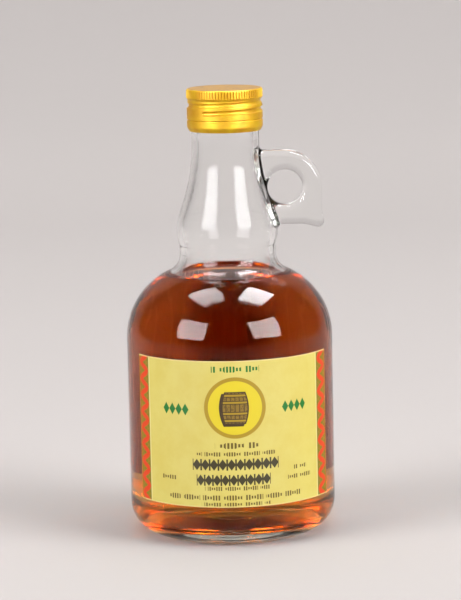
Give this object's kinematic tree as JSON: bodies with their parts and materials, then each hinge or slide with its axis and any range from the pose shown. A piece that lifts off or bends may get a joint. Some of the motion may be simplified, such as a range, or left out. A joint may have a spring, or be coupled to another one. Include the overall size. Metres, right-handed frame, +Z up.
{
  "type": "bottle of rum",
  "caption": "Small round-shouldered clear glass jug bottle of rum with a ring handle on its neck, a gold screw cap and paper labels.",
  "frame": {"origin": "middle of the base, on the surface that the bottle stands on", "axes": "+Z up along the bottle's axis; -Y towards the front label; +X towards the handle"},
  "size_m": [0.0878, 0.0881, 0.189],
  "materials": {
    "clear_glass": "clear, glossy",
    "rum": "clear amber liquid",
    "gold_cap": "gold anodised, semi-gloss",
    "front_label": "printed, satin",
    "back_label": "plain, satin"
  },
  "bodies": {
    "root": {"glass_bottle": "clear_glass", "rum": "rum", "cap": "gold_cap", "label_front": "front_label", "label_back": "back_label"}
  },
  "joints": []
}
